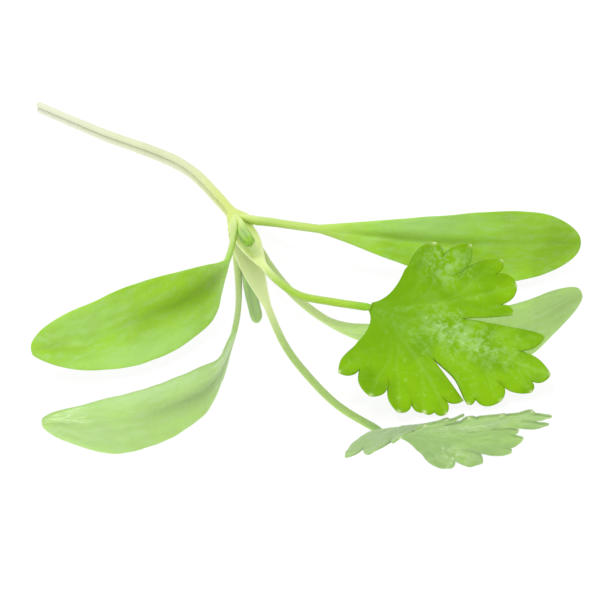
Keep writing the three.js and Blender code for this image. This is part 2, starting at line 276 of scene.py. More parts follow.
def make_mesh(name, verts, quads, tris, values):
    """One object from arrays: its faces, smooth shading and a float attribute for each of the named
    values. A mesh that comes out with its faces turned in is turned round."""
    a, b, c, d = (verts[quads[:, k]] for k in range(4))
    volume = np.einsum("ij,ij->i", a, np.cross(b, c) + np.cross(c, d)).sum()
    if volume < 0:
        quads, tris = quads[:, ::-1], tris[:, ::-1]
    mesh = bpy.data.meshes.new(name)
    corners = np.concatenate([quads.ravel(), tris.ravel()])
    sizes = np.repeat([4, 3], [len(quads), len(tris)])
    mesh.vertices.add(len(verts))
    mesh.vertices.foreach_set("co", verts.astype(np.float32).ravel())
    mesh.loops.add(len(corners))
    mesh.loops.foreach_set("vertex_index", corners.astype(np.int32))
    mesh.polygons.add(len(sizes))
    mesh.polygons.foreach_set("loop_start", np.concatenate([[0], np.cumsum(sizes)[:-1]]).astype(np.int32))
    mesh.update(calc_edges=True)
    mesh.polygons.foreach_set("use_smooth", np.ones(len(sizes), bool))
    for key, value in values.items():
        layer = mesh.attributes.new(key, "FLOAT", "POINT")
        layer.data.foreach_set("value", value.astype(np.float32))
    if mesh.validate():
        raise RuntimeError(name + " has faces that don't make a mesh")
    obj = bpy.data.objects.new(name, mesh)
    bpy.context.scene.collection.objects.link(obj)
    return obj


def grid_quads(index):
    """Quads between the neighbouring rows and columns of a grid of vertex numbers."""
    return np.stack([index[:-1, :-1], index[1:, :-1], index[1:, 1:], index[:-1, 1:]], -1).reshape(-1, 4)


def closed_tube(name, rings, values):
    """A tube from an array of rings (steps x round x 3): quads between neighbouring rings, and a
    fan of triangles to the middle of each end ring, whose values are the means of that ring's."""
    steps, around, _ = rings.shape
    i, j = np.meshgrid(np.arange(steps - 1) * around, np.arange(around), indexing="ij")
    k = (j + 1) % around
    quads = np.stack([i + j, i + k, i + around + k, i + around + j], -1).reshape(-1, 4)
    n, m, last = j[0], k[0], (steps - 1) * around
    middle = np.full(around, steps * around)
    fans = np.vstack([np.stack([middle, m, n], -1), np.stack([middle + 1, last + n, last + m], -1)])
    verts = np.vstack([rings.reshape(-1, 3), rings[0].mean(0), rings[-1].mean(0)])
    whole = {key: np.broadcast_to(value, (steps, around)) for key, value in values.items()}
    whole = {key: np.concatenate([v.ravel(), [v[0].mean(), v[-1].mean()]]) for key, v in whole.items()}
    return make_mesh(name, verts, quads, fans, whole)


def settle(obj, node):
    """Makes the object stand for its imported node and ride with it."""
    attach(obj, "root")
    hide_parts(node)


# ---- places shared by the pieces ----
COLLAR_GAP = 0.3 * MM
SIDE_GAP = 0.12 * MM
COLLAR_START = 0.9
CROWN = 1.7 * MM  # how far the collar reaches over the starts of the stalks
TUCK = 3.2 * MM  # over which a stalk comes out of the collar
TUCK_BACK = 1.1 * MM  # how far back its start is drawn
TUCK_IN = 0.75  # the share of its way beside or above the middle that it is drawn in by
STEM_STEPS = 200


def collar_frame(sizes):
    """The middle of the collar, and the stem's forward and across directions there. The collar's
    place is where the plain stem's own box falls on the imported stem's box."""
    line = course_line(STEM_COURSE[::-1], sizes.stem.length, STEM_STEPS)
    rings = stem_rings(sizes, line, 24, plain=True)
    low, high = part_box("stem")
    middle = (np.array(low) + np.array(high)) / 2
    own = (rings.min((0, 1)) + rings.max((0, 1))) / 2
    forward = line[-1] - line[-2]
    forward /= np.linalg.norm(forward)
    across = np.cross(UP, forward)
    return middle - own, forward, across / np.linalg.norm(across)


def start_of(sizes, run, beside=0.0, above=0.0):
    """Where a stalk's course starts, for each distance run along it: a gap ahead of the collar's
    middle, and beside or above it. From there it is drawn back into the collar, and in by three
    quarters of the way beside or above, times 1 - a smooth step of the run."""
    collar, forward, across = collar_frame(sizes)
    draw = (1 - smoothstep(run, 0, TUCK)).reshape(-1, 1, 1)
    aside = across * beside + UP * above
    return collar + forward * COLLAR_GAP + aside - draw * (forward * TUCK_BACK + aside * TUCK_IN)


def section_ring(line, lean, face, reach, deep):
    """Rings carried along a line: point = line + width reach + side deep, where the reach along the
    width direction and the depth along the side direction are arrays (steps x round)."""
    _, width, side = course_axes(line, lean, face)
    return line[:, None, :] + width[:, None, :] * reach[..., None] + side[:, None, :] * deep[..., None]


def angles(count):
    """Even steps round a circle."""
    return np.linspace(0, 2 * np.pi, count, endpoint=False)


def ridges(angle, count, depth):
    """Lengthwise ridges round a stalk: 1 - depth (1 - cos(count angle)) / 2."""
    return 1 - depth * (0.5 - 0.5 * np.cos(count * angle))[None, :]


# ---- stem ----
STEM_SHARE = 0.93  # of the solid's thickness
STEM_SWELL = 0.03
CUT_SLIM = 0.2  # lost on the way to the cut end
CUT_BEVEL = 0.25  # lost at the cut end's own edge
CROWN_WIDTH = 0.5  # how much wider and how much higher the collar grows
CROWN_HEIGHT = 0.35
CROWN_END = 0.25  # the share of its width that its end keeps


def stem_rings(sizes, line, around, plain=False):
    """Rings along the stem: an ellipse as thick as the stem, whose width broadens by a smooth step
    over the last tenth. Unless plain, it is thinner towards its cut end, carries shallow lengthwise
    ridges and slow swellings, and rises into a collar that closes, sqrt(1 - q^2), over the starts
    of the stalks. It keeps resting on the surface."""
    size = sizes.stem
    t = np.linspace(0, 1 if plain else 1 + CROWN / size.length, len(line))[:, None]
    angle = angles(around)
    radius = size.diameter / 2
    half_width = radius + (size.collar / 2 - radius) * smoothstep(t, COLLAR_START, 1)
    half_thickness = np.full_like(t, radius)
    if not plain:
        ridge = ridges(angle, count=7, depth=0.035)
        swell = STEM_SHARE + STEM_SWELL * np.sin(t * 37) * np.sin(t * 11 + 1)
        slim = 1 - CUT_SLIM + CUT_SLIM * smoothstep(t, -0.1, 0.9)
        cut = 1 - CUT_BEVEL * (1 - smoothstep(t, 0, 0.004))
        close = np.sqrt(np.clip(1 - (np.clip(t - 1, 0, 1) * size.length / CROWN) ** 2, 0.02, 1))
        crown = smoothstep(t, 0.93, 1)
        broader = (1 + CROWN_WIDTH * crown) * (CROWN_END + (1 - CROWN_END) * close)
        half_width = half_width * ridge * swell * slim * cut * broader
        half_thickness = half_thickness * ridge * (swell * slim * cut + CROWN_HEIGHT * crown) * close
    rest = half_thickness.max(1, keepdims=True) - radius
    reach, deep = np.cos(angle) * half_width, np.sin(angle) * half_thickness + rest
    return section_ring(line, math.pi / 2, 1, reach, deep)


# ---- seed leaves ----
MIDRIB_WIDTH = 0.085
MIDRIB_DEPTH = 0.08 * MM
RIB_HEIGHT = 0.007 * MM
SEED_BEND = 0.13 * MM
SEED_BUMPS = 0.03 * MM
SEED_RIBS = 13.5  # radians of the ribs' wave from the midrib to the edge
EDGE_WAVES = ((0.005, 17, 1), (0.004, 41, 2))  # (share of the width, radians along the blade, shift)
TIP_THIN = 0.4

# Each seed leaf: the side that it faces, its lean in degrees and the seed of its waves; where its
# outline is widest below and above the midrib, how slowly it starts to widen (taper) and how
# pointed each side is; how stout its stalk and its root are, and between which places along the
# blade the stalk's colour ends; and its dark patches (painted shade in the cupped hollow along the
# midrib, and darker towards the tip) and pale patches (painted sheen) as (place along the blade,
# place across it from -1 to 1, reach along, reach across, strength).
SEED_LEAVES = {
    "left_seed_leaf": dict(
        course=LEFT_SEED_COURSE, face=-1, lean=11, seed=3,
        widest=(0.53, 0.62), taper=0.22, point=(0.72, 0.6),
        stout=1.0, root=0.5, stalk=(-0.25, 0.06),
        dark=[(0.23, 0.15, 0.2, 0.5, 1.0), (0.48, 0.05, 0.18, 0.3, 0.7), (0.93, 0.05, 0.05, 0.3, 0.3)],
        pale=[(0.62, -0.8, 0.3, 0.4, 0.9), (0.8, 0.5, 0.16, 0.5, 0.6), (0.0, 0.2, 0.07, 1.0, 0.5)],
    ),
    "right_seed_leaf": dict(
        course=RIGHT_SEED_COURSE, face=1, lean=10, seed=8,
        widest=(0.66, 0.68), taper=0.5, point=(0.58, 0.6),
        stout=1.35, root=0.2, stalk=(-0.1, 0.3),
        dark=[
            (0.3, 0.25, 0.16, 0.2, 0.9), (0.52, 0.15, 0.16, 0.14, 0.6),
            (0.93, 0.1, 0.14, 1.0, 0.7), (0.62, -0.4, 0.25, 0.5, 0.35),
        ],
        pale=[(0.42, 0.75, 0.22, 0.45, 1.0)],
    ),
}


def blade_outline(s, widest, taper, point):
    """Half width of an oblong blade, 0 to 1, at the share s of its length: up to the widest place
    it rises along a sine, mixed with a slow S by the taper; beyond it, (1 - q^2)^point of the share
    q of the rest, which is half an ellipse at 0.5 and more pointed above that."""
    rise = np.clip(s / widest, 0, 1)
    start = (1 - taper) * np.sin(rise * np.pi / 2) + taper * smoothstep(rise, 0, 1)
    end = np.clip(1 - ((s - widest) / (1 - widest)) ** 2, 0, 1) ** point
    return np.where(s <= 0, 0, np.where(s > widest, end, start))


def patches(s, w, places):
    """The sum of strength exp(-((s - s0)/ds)^2 - ((w - w0)/dw)^2) over the patches, at most 1."""
    total = sum(h * np.exp(-(((s - s0) / ds) ** 2) - ((w - w0) / dw) ** 2) for s0, w0, ds, dw, h in places)
    return np.clip(total, 0, 1)


def seed_leaf(sizes, node, blade_length, blade_width):
    """A round stalk that flattens into an oblong, cupped blade on edge.

    Across the blade, w runs from -1 to 1. The face moves towards the cup by cup (w^2 - 1/2); the
    midrib is a hollow exp(-(w/0.085)^2) on the inner face; faint ribs run lengthwise as a wave in w;
    slow ripples bend the edges. Half the thickness is sqrt(1 - w^2) of the stalk's radius, and
    sqrt(1 - w^4) of the blade's."""
    shape, size = SEED_LEAVES[node], sizes.seed
    length = size.stalk_length + blade_length
    t = np.linspace(0, 1, 300)
    t = t + 0.35 * (smoothstep(t, 0, 1) - t) * (t > 0.5)
    line = resampled(course_line(shape["course"], length, 1200), np.linspace(0, 1, 1200), t)
    s = ((t * length - size.stalk_length) / blade_length)[:, None]
    angle = angles(96)
    w, round_ = np.cos(angle)[None, :], np.sin(angle)[None, :]
    below, above = (blade_outline(s, w0, shape["taper"], p) for w0, p in zip(shape["widest"], shape["point"]))
    spread = (below + above) / 2
    flat = smoothstep(s, -0.05, 0.35)
    run = t[:, None]
    stout = (shape["stout"] - 1) * smoothstep(run, 0.0, 0.08)
    root = shape["root"] * (1 - smoothstep(run, 0.03, 0.25))
    stalk = size.stalk_diameter / 2 * (1 + stout + root)
    edge_wave = sum(part * np.sin(s * rate + shift * shape["seed"]) for part, rate, shift in EDGE_WAVES)
    own = np.where(w > 0, above, below)
    half_width = stalk * (1 - own) + blade_width / 2 * own * (1 + edge_wave * flat)
    body = np.sign(round_) * ((1 - flat) * np.abs(round_) + flat * np.sqrt(np.clip(1 - w**4, 0, 1)))
    half_thickness = (1 - flat) * stalk + flat * size.thickness / 2
    half_thickness = half_thickness * (1 - TIP_THIN * smoothstep(s, 0.85, 1))
    places = np.stack(np.broadcast_arrays(s * blade_length, w * blade_width / 2), -1)
    fold = smoothstep(s, 0.0, 0.25) * (1 - smoothstep(s, 0.93, 1))
    midrib = np.exp(-((w / MIDRIB_WIDTH) ** 2)) * fold
    ribs = np.cos(w * SEED_RIBS + 0.6 * np.sin(s * 9)) * smoothstep(np.abs(w), 0.1, 0.3) * fold
    ribs = ribs * (1 - smoothstep(np.abs(w), 0.75, 1))
    bend = ripple(shape["seed"], places, 6 * MM) * SEED_BEND * spread * (0.35 + w * w)
    bumps = ripple(shape["seed"] + 1, places * np.array([0.6, 1.0]), 1.1 * MM, 14) * SEED_BUMPS * spread
    cup = size.cup * spread**2 * (w * w - 0.5)
    offset = shape["face"] * (cup - MIDRIB_DEPTH * midrib + RIB_HEIGHT * ribs * spread + bumps) + bend
    reach, deep = w * half_width, body * half_thickness + offset
    rings = section_ring(line, math.radians(shape["lean"]), shape["face"], reach, deep)
    beside = (sizes.leaf.stalk_diameter + size.stalk_diameter) / 2 + SIDE_GAP
    rings += start_of(sizes, run * length, beside=beside * shape["face"])
    values = {
        "along": np.clip(s, -1, 1),
        "across": w * spread,
        "rib": midrib + 0.3 * np.clip(ribs, 0, 1),
        "stalky": 1 - smoothstep(s, *shape["stalk"]),
        # dark: painted shade of the hollow, and darker towards the tip; pale: painted sheen.
        "dark": patches(s, w, shape["dark"]),
        "pale": patches(s, w, shape["pale"]),
    }
    return rings, values


# ---- first true leaf ----
RIB_REACH = 0.45
RIB_SPREAD = 0.6
TOOTH_BULGE = 0.24
BULGE_LIMIT = 0.026
CUP_FADE = 1.25
ROOT_SHARE = 0.85
ROOT_PLACE = 0.6
SLIT_TURN = -20  # where the deep notch lies
SLIT_CLOSING = 4.0
SLIT_LIFT = 0.4 * MM
SLOW_WAVES = 0.22 * MM
FINE_WAVES = 0.045 * MM
GROOVE_DEPTH = 0.045 * MM
TIP_CURL = 0.14 * MM
PACKED_HALF_THICKNESS = 0.17 * MM
BLADE_OVERLAP = 0.25 * MM
FLANK_STEPS = 16
MAIN_VEIN = (1.2, 0.75)  # strength at a vein's start, and how much of it is lost by its end
SIDE_VEIN = (0.7, 0.42)
GROOVE_WIDTH = (0.007, 0.005)  # a groove's width, and how much it grows with the vein's strength
SHEATH_WRAP = (0.9, 0.6)  # reach on the left and on the right, as shares of the sheath's width
CHANNEL_WIDTH = 0.5
CHANNEL_DEPTH = (0.12, 0.15)  # along the slender part, and how much deeper it is in the sheath


def plan_point(turn, reach):
    """A point of the blade's flat plan, in shares of its length."""
    return np.array([math.cos(math.radians(turn)), math.sin(math.radians(turn))]) * reach


def margin():
    """The toothed margin in the plan, clockwise: each flank of a tooth is a quadratic curve that
    bulges outwards from its chord by a share of it. Also gives the places of the tips in the
    array, and a root inside the blade for every point: below each notch it is 0.85 of the notch's
    reach, and in between its turn and reach run evenly."""
    points, tips, count = [plan_point(*MARGIN_START)[None, :]], [], 0
    notches = np.array([MARGIN_START, *(notch for _, notch, _ in TEETH)])
    teeth = np.linspace(0, len(TEETH), 2 * FLANK_STEPS * len(TEETH) + 1)
    turn, reach = (np.interp(teeth, np.arange(len(notches)), notches[:, k]) for k in (0, 1))
    turn, reach = np.radians(turn), reach * ROOT_SHARE
    roots = np.stack([np.cos(turn) * reach, np.sin(turn) * reach], -1)
    q = np.linspace(0, 1, FLANK_STEPS + 1)[1:, None]
    start, after = plan_point(*MARGIN_START), None
    for tip, notch, deep in TEETH:
        for end, share in ((plan_point(*tip), after), (plan_point(*notch), deep and deep[0])):
            run = end - start
            long = np.linalg.norm(run)
            bulge = min(TOOTH_BULGE * long, BULGE_LIMIT) if share is None else share * long
            middle = (start + end) / 2 + 2 * bulge * np.array([-run[1], run[0]]) / long
            points.append((1 - q) ** 2 * start + 2 * q * (1 - q) * middle + q * q * end)
            start = end
        count += 2 * FLANK_STEPS
        tips.append(count - FLANK_STEPS)
        after = deep and deep[1]
    return np.vstack(points), tips, roots


def ribs_to(ends, v, base_share):
    """Points of the plan on the ribs that run from the leaf's base to each of the ends: quadratic
    curves that leave the base at 0.6 of the end's turn and bend at 0.45 of its reach."""
    reach = np.linalg.norm(ends, axis=-1)
    turn = np.arctan2(ends[..., 1], ends[..., 0]) * RIB_SPREAD
    bend = np.stack([np.cos(turn), np.sin(turn)], -1) * (reach * RIB_REACH)[..., None]
    start = np.stack([np.zeros_like(base_share), base_share], -1)
    v = v[..., None]
    return (1 - v) ** 2 * start + 2 * v * (1 - v) * bend + v * v * ends


def vein_points(edge, tips, base_share):
    """Each vein's points and strengths. A side vein follows its parent's rib up to where it
    branches, and then slides smoothly over to its own tooth."""
    v = np.linspace(0, 1, 90)
    veins = []
    for tooth, parent, leaves in VEINS:
        own = ribs_to(edge[tips[tooth]][None, :], v, base_share[tips[tooth]][None])
        if parent is None:
            keep = v <= 0.97
            veins.append((own[keep], (MAIN_VEIN[0] - MAIN_VEIN[1] * v)[keep]))
            continue
        trunk = ribs_to(edge[tips[parent]][None, :], v, base_share[tips[parent]][None])
        slide = smoothstep(v, leaves, min(1.0, leaves + 0.5))[:, None]
        keep = (v >= leaves) & (v <= 0.96)
        strength = SIDE_VEIN[0] - SIDE_VEIN[1] * v
        veins.append(((trunk * (1 - slide) + own * slide)[keep], strength[keep]))
    return veins


def nearest(places, points):
    """The distance from each place to the nearest of the points, and that point's number."""
    gap = np.linalg.norm(places.reshape(-1, 1, 2) - points, axis=-1)
    best = gap.argmin(1)
    least = np.take_along_axis(gap, best[:, None], 1)
    return least.reshape(places.shape[:-1]), best.reshape(places.shape[:-1])


def vein_nearness(places, veins):
    """A smooth distance to the veins, the fourth-power mean (sum of d^-4)^(-1/4) over them, and how
    deep in a vein's groove each place is, the largest of strength exp(-(d/width)^2)."""
    total, groove = 0.0, 0.0
    for points, strength in veins:
        least, best = nearest(places, points)
        power = strength[best]
        total = total + np.maximum(least, 1e-4) ** -4
        width = GROOVE_WIDTH[0] + GROOVE_WIDTH[1] * power
        groove = np.maximum(groove, power * np.exp(-((least / width) ** 2)))
    return total**-0.25, groove


def cup_height(size, x, y):
    """The height of the cup, cup (1 - 1.25 x/L) y^2 / L."""
    return size.cup * (1 - CUP_FADE * x / size.length) * y * y / size.length


def blade_turn(size):
    """The turn from the blade's own frame to the way that it hangs."""
    heading, droop, tilt = (
        Matrix.Rotation(turn, 3, axis)
        for turn, axis in ((size.heading, "Z"), (size.droop, "Y"), (size.tilt, "X"))
    )
    return np.array(heading @ droop @ tilt)


def blade_sheet(sizes):
    """The fan blade in its own frame: X along the middle rib, Z out of the upper face.

    Its plan is the ribs (k along the margin, v from the base): curves to the roots, and straight on
    to the margin. The corner of the middle lobe leans over the outer end of the deep notch beside
    it. The height is the cup plus the quilted swelling between veins, less a groove along each
    vein and a curl at the tip of each tooth, plus slow and fine waves. Gives the sheet, its masks
    and how far each point is from the margin."""
    size = sizes.leaf
    length = size.length
    edge, tips, roots = margin()
    base_share = size.base_width / length * (0.5 - np.linspace(0, 1, len(edge)))
    v = np.concatenate([np.linspace(0, 0.965, 60), [0.978, 0.988, 0.9945, 0.998, 1.0]])[None, :]
    inside = np.clip(v / ROOT_PLACE, 0, 1) + 0 * edge[:, :1]
    beyond = np.clip((v - ROOT_PLACE) / (1 - ROOT_PLACE), 0, 1)[..., None]
    plan = ribs_to(roots[:, None, :], inside, base_share[:, None]) + beyond * (edge - roots)[:, None, :]
    gap, groove = vein_nearness(plan, vein_points(edge, tips, base_share))
    # One rib at a time, as all of them at once would need too much memory.
    rim_gap = np.stack([nearest(rib[None], edge)[0][0] for rib in plan]) * length
    tip_gap = nearest(plan, edge[tips])[0] * length
    x, y = plan[..., 0] * length, plan[..., 1] * length
    places = plan * length
    reach = np.hypot(x, y) / length
    out = smoothstep(reach, 0.06, 0.35)
    cup = cup_height(size, x, y)
    quilt = (1 - np.exp(-((gap / 0.032) ** 2))) * out
    slow = ripple(21, places, 6.0 * MM) * SLOW_WAVES * smoothstep(reach, 0.1, 0.8)
    fine = ripple(5, places, 1.3 * MM, 14) * FINE_WAVES * out
    # The middle lobe rides over the right one along the deep notch between them.
    turn = np.degrees(np.arctan2(y, x))
    middle_lobe = np.arange(len(edge))[:, None] <= tips[9] + FLANK_STEPS
    beside = np.exp(-(((turn - SLIT_TURN) / 8) ** 2)) * middle_lobe
    lift = SLIT_LIFT * beside * smoothstep(reach, 0.46, 0.72)
    curl = -TIP_CURL * np.exp(-((tip_gap / (0.9 * MM)) ** 2)) * out
    height = cup + size.quilting * quilt - GROOVE_DEPTH * groove * out + slow + fine + lift + curl
    lean = np.radians(turn - SLIT_CLOSING * beside * smoothstep(reach, 0.56, 0.74))
    sheet = np.stack([np.cos(lean) * reach * length, np.sin(lean) * reach * length, height], -1)
    masks = {
        "vein": np.clip(groove, 0, 1) * smoothstep(reach, 0.05, 0.3),
        # base: darker near the stalk, and painted shade in the SHADE patches.
        "base": np.maximum(1 - smoothstep(reach, 0.15, 0.45), patches(plan[..., 0], plan[..., 1], SHADE)),
        "rim": (1 - smoothstep(rim_gap, 0.0, 0.45 * MM)) * out,
        "tip": np.exp(-((tip_gap / (0.16 * MM)) ** 2)),
        # painted_sheen: where a pale highlight is painted on the upper skin.
        "painted_sheen": patches(plan[..., 0], plan[..., 1], PAINTED_SHEEN),
    }
    return sheet, masks, rim_gap


def thicken(size, sheet, rim_gap):
    """The upper and under faces of the sheet, which meet all round its rim: each point moves half
    the thickness along the normal of the cup, times a quarter-round factor sqrt(1 - (1 - d)^2) of
    its distance d from the rim, in units of the thickness."""
    x, y = sheet[..., 0] / size.length, sheet[..., 1] / size.length
    slope_x, slope_y = -size.cup * CUP_FADE * y * y, 2 * size.cup * (1 - CUP_FADE * x) * y
    normal = np.stack([-slope_x, -slope_y, np.ones_like(x)], -1)
    normal /= np.linalg.norm(normal, axis=-1, keepdims=True)
    d = np.clip(rim_gap / (0.6 * size.thickness), 0, 1)
    factor = np.sqrt(1 - (1 - d) ** 2)
    factor[0] = factor[-1] = 0
    factor[:, 0] = factor[:, -1] = 0
    shift = normal * (factor * size.thickness / 2)[..., None]
    return sheet + shift, sheet - shift


def closed_sheet(top, under, masks):
    """Vertices, quads and masks of two grids that share their border: the upper grid's vertices
    come first, and the lower grid uses them wherever it lies on the border. The mask inner is 1 on
    the upper face and the border, and 0 on the under face."""
    n, m, _ = top.shape
    index_top = np.arange(n * m).reshape(n, m)
    index_under = index_top.copy()
    index_under[1:-1, 1:-1] = n * m + np.arange((n - 2) * (m - 2)).reshape(n - 2, m - 2)
    verts = np.vstack([top.reshape(-1, 3), under[1:-1, 1:-1].reshape(-1, 3)])
    quads = np.vstack([grid_quads(index_top), grid_quads(index_under)[:, ::-1]])
    values = {key: np.concatenate([value.ravel(), value[1:-1, 1:-1].ravel()]) for key, value in masks.items()}
    values["inner"] = np.concatenate([np.ones(n * m), np.zeros((n - 2) * (m - 2))])
    return verts, quads, values


def leaf_stalk_line(sizes, lowest, count):
    """The stalk's course, rising by just as much as lets the hanging blade's lowest tooth rest on
    the surface."""
    size = sizes.leaf
    rise = -lowest - sizes.stem.diameter / 2
    steep = rise / (LEAF_STALK_COURSE[-1][2] * size.stalk_length)
    course = [(x, y, z * steep) for x, y, z in LEAF_STALK_COURSE]
    return course_line(course, size.stalk_length, count)


def stalk_rings(sizes, line, around):
    """Rings of the leaf's stalk: an ellipse whose width swells over the sheath by sin(pi q^0.55) of
    the share q of it, more on the left where it wraps the seed leaf's stalk. The sheath is hollowed
    on its upper side into a shallow channel, exp(-(w/0.5)^2) across it, the slender part keeps a
    faint groove, and the end thins out into the blade."""
    size = sizes.leaf
    t = np.linspace(0, 1, len(line))[:, None]
    angle = angles(around)
    slender = size.stalk_diameter / 2
    swell = np.sin(np.pi * np.clip(t / size.sheath_share, 0, 1) ** 0.55)
    w = np.cos(angle)[None, :]
    wrap = np.where(w < 0, *SHEATH_WRAP)
    half_width = slender + (size.sheath_width * wrap - slender) * swell
    side = course_axes(line, math.pi / 2, 1)[2]
    up = np.sign(side[len(side) // 2, 2]) * np.sin(angle)[None, :]
    depth = CHANNEL_DEPTH[0] + CHANNEL_DEPTH[1] * swell
    channel = np.exp(-((w / CHANNEL_WIDTH) ** 2)) * np.clip(up, 0, 1) * depth
    ridge = ridges(angle, count=9, depth=0.03)
    half_thickness = slender * ridge * (1 - channel) * (1 - 0.5 * smoothstep(t, 0.97, 1))
    reach, deep = w * (half_width * ridge), np.sin(angle) * half_thickness
    return section_ring(line, math.pi / 2, 1, reach, deep), t


# ---- folded second leaf ----
PLEAT_DEPTH = 0.16


def bud_rings(sizes, line, around):
    """Rings of the folded leaf: a thin round stalk that swells by a smooth step into a club. Its
    pleats are a cosine round it that deepens with the swell and turns slowly along it, and its
    last tenth closes as a quarter round, sqrt(1 - q^2)."""
    size = sizes.bud
    t = np.linspace(0, 1, len(line))[:, None]
    angle = angles(around)
    swell = smoothstep(t, 0.15, 0.7)
    end = np.sqrt(np.clip(1 - (0.97 * np.clip(t - 0.9, 0, 1) / 0.1) ** 2, 0, 1))
    pleat = 1 - PLEAT_DEPTH * swell * (0.5 - 0.5 * np.cos(size.pleats * angle + 2 * t))
    radius = (size.stalk_diameter + (size.diameter - size.stalk_diameter) * swell) / 2 * end * pleat
    return section_ring(line, 0, 1, np.cos(angle) * radius, np.sin(angle) * radius), swell, pleat


# ---- materials ----
SKIN_DEPTH = 0.1 * MM


def put(tree, socket, value):
    """Links a socket to the input, or sets a number or a colour on it."""
    if isinstance(value, bpy.types.NodeSocket):
        tree.links.new(value, socket)
    else:
        socket.default_value = (*value, 1) if socket.type == "RGBA" else value


def fill(tree, node, **given):
    """Puts a value on each of the named inputs of a node."""
    for title, value in given.items():
        put(tree, node.inputs[title.replace("_", " ")], value)


def noise(tree, vector, scale, detail=3.0, roughness=0.55, distortion=0.0):
    """A noise texture's value, on the given vector."""
    node = tree.nodes.new("ShaderNodeTexNoise")
    fill(tree, node, Vector=vector, Scale=scale, Detail=detail, Roughness=roughness, Distortion=distortion)
    return node.outputs["Fac"]


def remap(tree, value, low, high, to_low=0.0, to_high=1.0):
    """A value from low..high brought to to_low..to_high along a smooth step."""
    node = tree.nodes.new("ShaderNodeMapRange")
    node.interpolation_type = "SMOOTHSTEP"
    fill(tree, node, Value=value, From_Min=low, From_Max=high, To_Min=to_low, To_Max=to_high)
    return node.outputs["Result"]


def maths(tree, operation, *given):
    """One arithmetic node on sockets or numbers."""
    node = tree.nodes.new("ShaderNodeMath")
    node.operation = operation
    for socket, value in zip(node.inputs, given):
        put(tree, socket, value)
    return node.outputs[0]


def mix(tree, factor, first, second):
    """A colour mixed between two, each a socket or a colour."""
    node = tree.nodes.new("ShaderNodeMix")
    node.data_type = "RGBA"
    colours = [socket for socket in node.inputs if socket.type == "RGBA"]
    for socket, value in zip([node.inputs["Factor"], *colours], (factor, first, second)):
        put(tree, socket, value)
    return next(socket for socket in node.outputs if socket.type == "RGBA")


def attribute(tree, name, share=None):
    """A float attribute of the piece, or a share of it."""
    node = tree.nodes.new("ShaderNodeAttribute")
    node.attribute_name = name
    value = node.outputs["Fac"]
    return value if share is None else maths(tree, "MULTIPLY", value, share)


def times(colour, factor):
    """A colour made darker or lighter, up to white."""
    return [min(1, channel * factor) for channel in colour]


def tissue_group():
    """Leaf tissue: mottled colour and the height of its skin. Colour = a mix of the main, dark and
    pale colours by slow noise, with pale flecks from a fine noise. Height = fine cells over slow
    unevenness."""
    tree = bpy.data.node_groups.new("Leaf tissue", "ShaderNodeTree")
    for title, kind in (("Main", "Color"), ("Dark", "Color"), ("Pale", "Color"), ("Flecks", "Float")):
        tree.interface.new_socket(title, in_out="INPUT", socket_type="NodeSocket" + kind)
    tree.interface.new_socket("Vector", in_out="INPUT", socket_type="NodeSocketVector")
    for title, kind in (("Colour", "Color"), ("Height", "Float")):
        tree.interface.new_socket(title, in_out="OUTPUT", socket_type="NodeSocket" + kind)
    given, out = tree.nodes.new("NodeGroupInput").outputs, tree.nodes.new("NodeGroupOutput")
    place = given["Vector"]
    slow = remap(tree, noise(tree, place, 260, 2.5), 0.4, 0.64)
    patchy = mix(tree, slow, given["Main"], given["Dark"])
    fine = remap(tree, noise(tree, place, 2100, 3.0, 0.65), 0.56, 0.7)
    fleck = maths(tree, "MULTIPLY", fine, given["Flecks"])
    cells = tree.nodes.new("ShaderNodeTexVoronoi")
    cells.feature = "SMOOTH_F1"
    fill(tree, cells, Vector=place, Scale=2600)
    height = maths(tree, "MULTIPLY_ADD", cells.outputs["Distance"], -0.6, noise(tree, place, 700, 3.0, 0.6))
    fill(tree, out, Colour=mix(tree, fleck, patchy, given["Pale"]), Height=height)
    return tree


def new_material(name):
    """A material with a Principled shader, as (material, tree, shader)."""
    material = bpy.data.materials.new(name)
    material.use_nodes = True
    tree = material.node_tree
    return material, tree, next(n for n in tree.nodes if n.type == "BSDF_PRINCIPLED")


def leaf_material(name, main, dark, pale, flecks, roughness, bump, gloss=0.3):
    """A leafy material: tissue colour and skin bump on a Principled shader. Gives the material, its
    tree, the tissue's colour, the shader, and the sockets of the place and the roughness."""
    material, tree, shader = new_material(name)
    place = tree.nodes.new("ShaderNodeTexCoord").outputs["Object"]
    tissue = tree.nodes.new("ShaderNodeGroup")
    tissue.node_tree = bpy.data.node_groups.get("Leaf tissue") or tissue_group()
    fill(tree, tissue, Main=main, Dark=dark, Pale=pale, Flecks=flecks, Vector=place)
    skin = tree.nodes.new("ShaderNodeBump")
    fill(tree, skin, Strength=bump, Distance=SKIN_DEPTH, Height=tissue.outputs["Height"])
    rough = remap(tree, tissue.outputs["Height"], 0.0, 0.6, roughness - 0.06, roughness + 0.08)
    fill(tree, shader, Specular_IOR_Level=gloss, Roughness=rough, Normal=skin.outputs["Normal"])
    return material, tree, tissue.outputs["Colour"], shader, place, rough


def stem_material(sizes):
    """Pale moist stem: yellow-green towards the collar, nearly white towards the cut end. It is made to
    glow a little, painted light that stands in for the light that passes through the thin stem."""
    size = sizes.stem
    material, tree, tissue, shader, *_ = leaf_material(
        "Pale stem", size.colour, times(size.colour, 0.93), (0.56, 0.58, 0.43), 0.4, 0.42, 0.15
    )
    along = attribute(tree, "along")
    whiter = mix(tree, remap(tree, along, 0.55, 0.0), tissue, size.cut_colour)
    colour = mix(tree, remap(tree, along, 0.55, 0.93), whiter, size.fresh_colour)
    # Emission: a painted glow for the light that passes through the thin stem.
    fill(tree, shader, Base_Color=colour, Emission_Color=colour, Emission_Strength=0.45)
    return material


